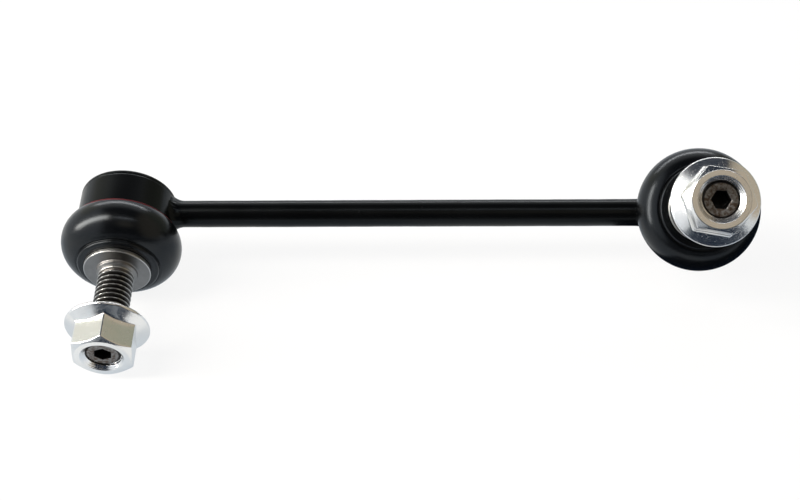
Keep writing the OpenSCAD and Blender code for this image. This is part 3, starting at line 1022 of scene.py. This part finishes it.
key = lamp("key_strip", (-0.74, -0.21, 0.6), (0.72, -0.1, 0.69), 1.15, 0.24, 17.0, (1.0, 0.94, 0.85))
side_strip = lamp("side_strip", (-0.965, -0.1, 0.36), -down, 0.9, 0.17, 14.0, (1.0, 0.95, 0.88))
top_strip = lamp("top_strip", (0.16, -0.3, 0.94), (1, 0, 0), 0.6, 0.07, 5.0)
back_strip = lamp("back_strip", (-0.1, 0.86, 0.42), (1, 0, 0), 1.1, 0.1, 9.0)
flagged(key, "right")
flagged(side_strip, "left")
print("lamps:", key.name, side_strip.name, top_strip.name, back_strip.name)

# %% [markdown]
# Bright metal is only as good as what it mirrors. A studio hangs cards round such a part: white on the
# left, beige on the right and behind the camera, a pale haze beyond the part, and dark ones over the rest
# of the camera's side, which give the nuts their dark bands and keep the paint black. Here one dome
# carries those cards, each in a direction taken from the camera. Only mirror rays see it, so it doesn't
# light or shade the floor.

# %% Dome of cards
BEIGE = (0.50, 0.43, 0.33, 1.0)
OLIVE = (0.33, 0.34, 0.26, 1.0)
CREAM = (0.78, 0.78, 0.68, 1.0)
SLATE = (0.16, 0.18, 0.21, 1.0)
HAZE = (0.62, 0.65, 0.7, 1.0)
NAVY = (0.011, 0.02, 0.037, 1.0)
DOME_R = 1.3


def only_in_mirrors(sheet):
    """Leaves a stage piece visible to mirror rays alone."""
    sheet.visible_camera = False
    sheet.visible_diffuse = False
    sheet.visible_transmission = False
    sheet.visible_shadow = False
    sheet.visible_volume_scatter = False
    return sheet


card_paint, wire = fresh_paint("studio_cards")
spot = own_spot(wire)


def lies(axis):
    """How far a point of the dome lies in a direction, from -1 to 1."""
    dot = {"operation": "DOT_PRODUCT"}
    return wire.add("ShaderNodeVectorMath", dot, {0: spot, 1: tuple(axis)}, out="Value")


x = lies(right)
y = lies(-down)
z = lies(-forward)
behind = 1 - z.clamped(0.02, 0.2)
at_right = x.clamped(0.42, 0.6)
at_left = (x * -1).clamped(0.42, 0.62)
by_camera = lies((right * 0.13 - down * 0.13 - forward * 0.98).normalized()).clamped(0.955, 0.985)
colour = behind.between(NAVY, SLATE)
colour = (behind * y.clamped(0.75, 0.9)).between(colour, shade(0.75))
colour = (z * -1).clamped(0.4, 0.75).between(colour, HAZE)
colour = at_right.between(colour, BEIGE)
colour = (at_right * behind).between(colour, OLIVE)
colour = by_camera.between(colour, BEIGE)
colour = at_left.between(colour, shade(0.95, (0.97, 1.0, 1.03)))
colour = (at_left * y.clamped(0.45, 0.6) * behind).between(colour, CREAM)
to_surface(wire, wire.add("ShaderNodeEmission", None, {"Color": colour, "Strength": 1.0}))
mesh = bpy.data.meshes.new("card_dome")
work = bmesh.new()
bmesh.ops.create_icosphere(work, subdivisions=5, radius=1.0)
work.to_mesh(mesh)
work.free()
mesh.materials.append(card_paint)
dome = bpy.data.objects.new("card_dome", mesh)
dome.scale = (DOME_R, DOME_R, DOME_R)
dome.location = centre
scene.collection.objects.link(dome)
only_in_mirrors(dome)
print("dome of", len(mesh.polygons), "faces")

# %% [markdown]
# Two dark cards lie just above the floor, one in front of the part and one under its right end, so that
# the undersides of the nuts have something dark to mirror.

# %% Cards on the floor
CARD_GAP = 0.4 * MM
FLOOR_CARDS = (("front_card", -0.06, 0.34, -0.4, -0.075), ("right_card", 0.14, 0.26, -0.03, 0.1))
dark_card, wire = fresh_paint("dark_card")
to_surface(wire, wire.add("ShaderNodeEmission", None, {"Color": NAVY, "Strength": 1.0}))
for name, low_x, high_x, low_y, high_y in FLOOR_CARDS:
    only_in_mirrors(stage_sheet(name, low_x, high_x, low_y, high_y, low.z + CARD_GAP, dark_card))
print("cards on the floor:", len(FLOOR_CARDS))

# %% [markdown]
# Last, the open edges of every piece that was made are counted.

# %% Open edges
bpy.context.view_layer.update()
leaks = {piece.name: open_edges(piece) for piece in made if open_edges(piece)}
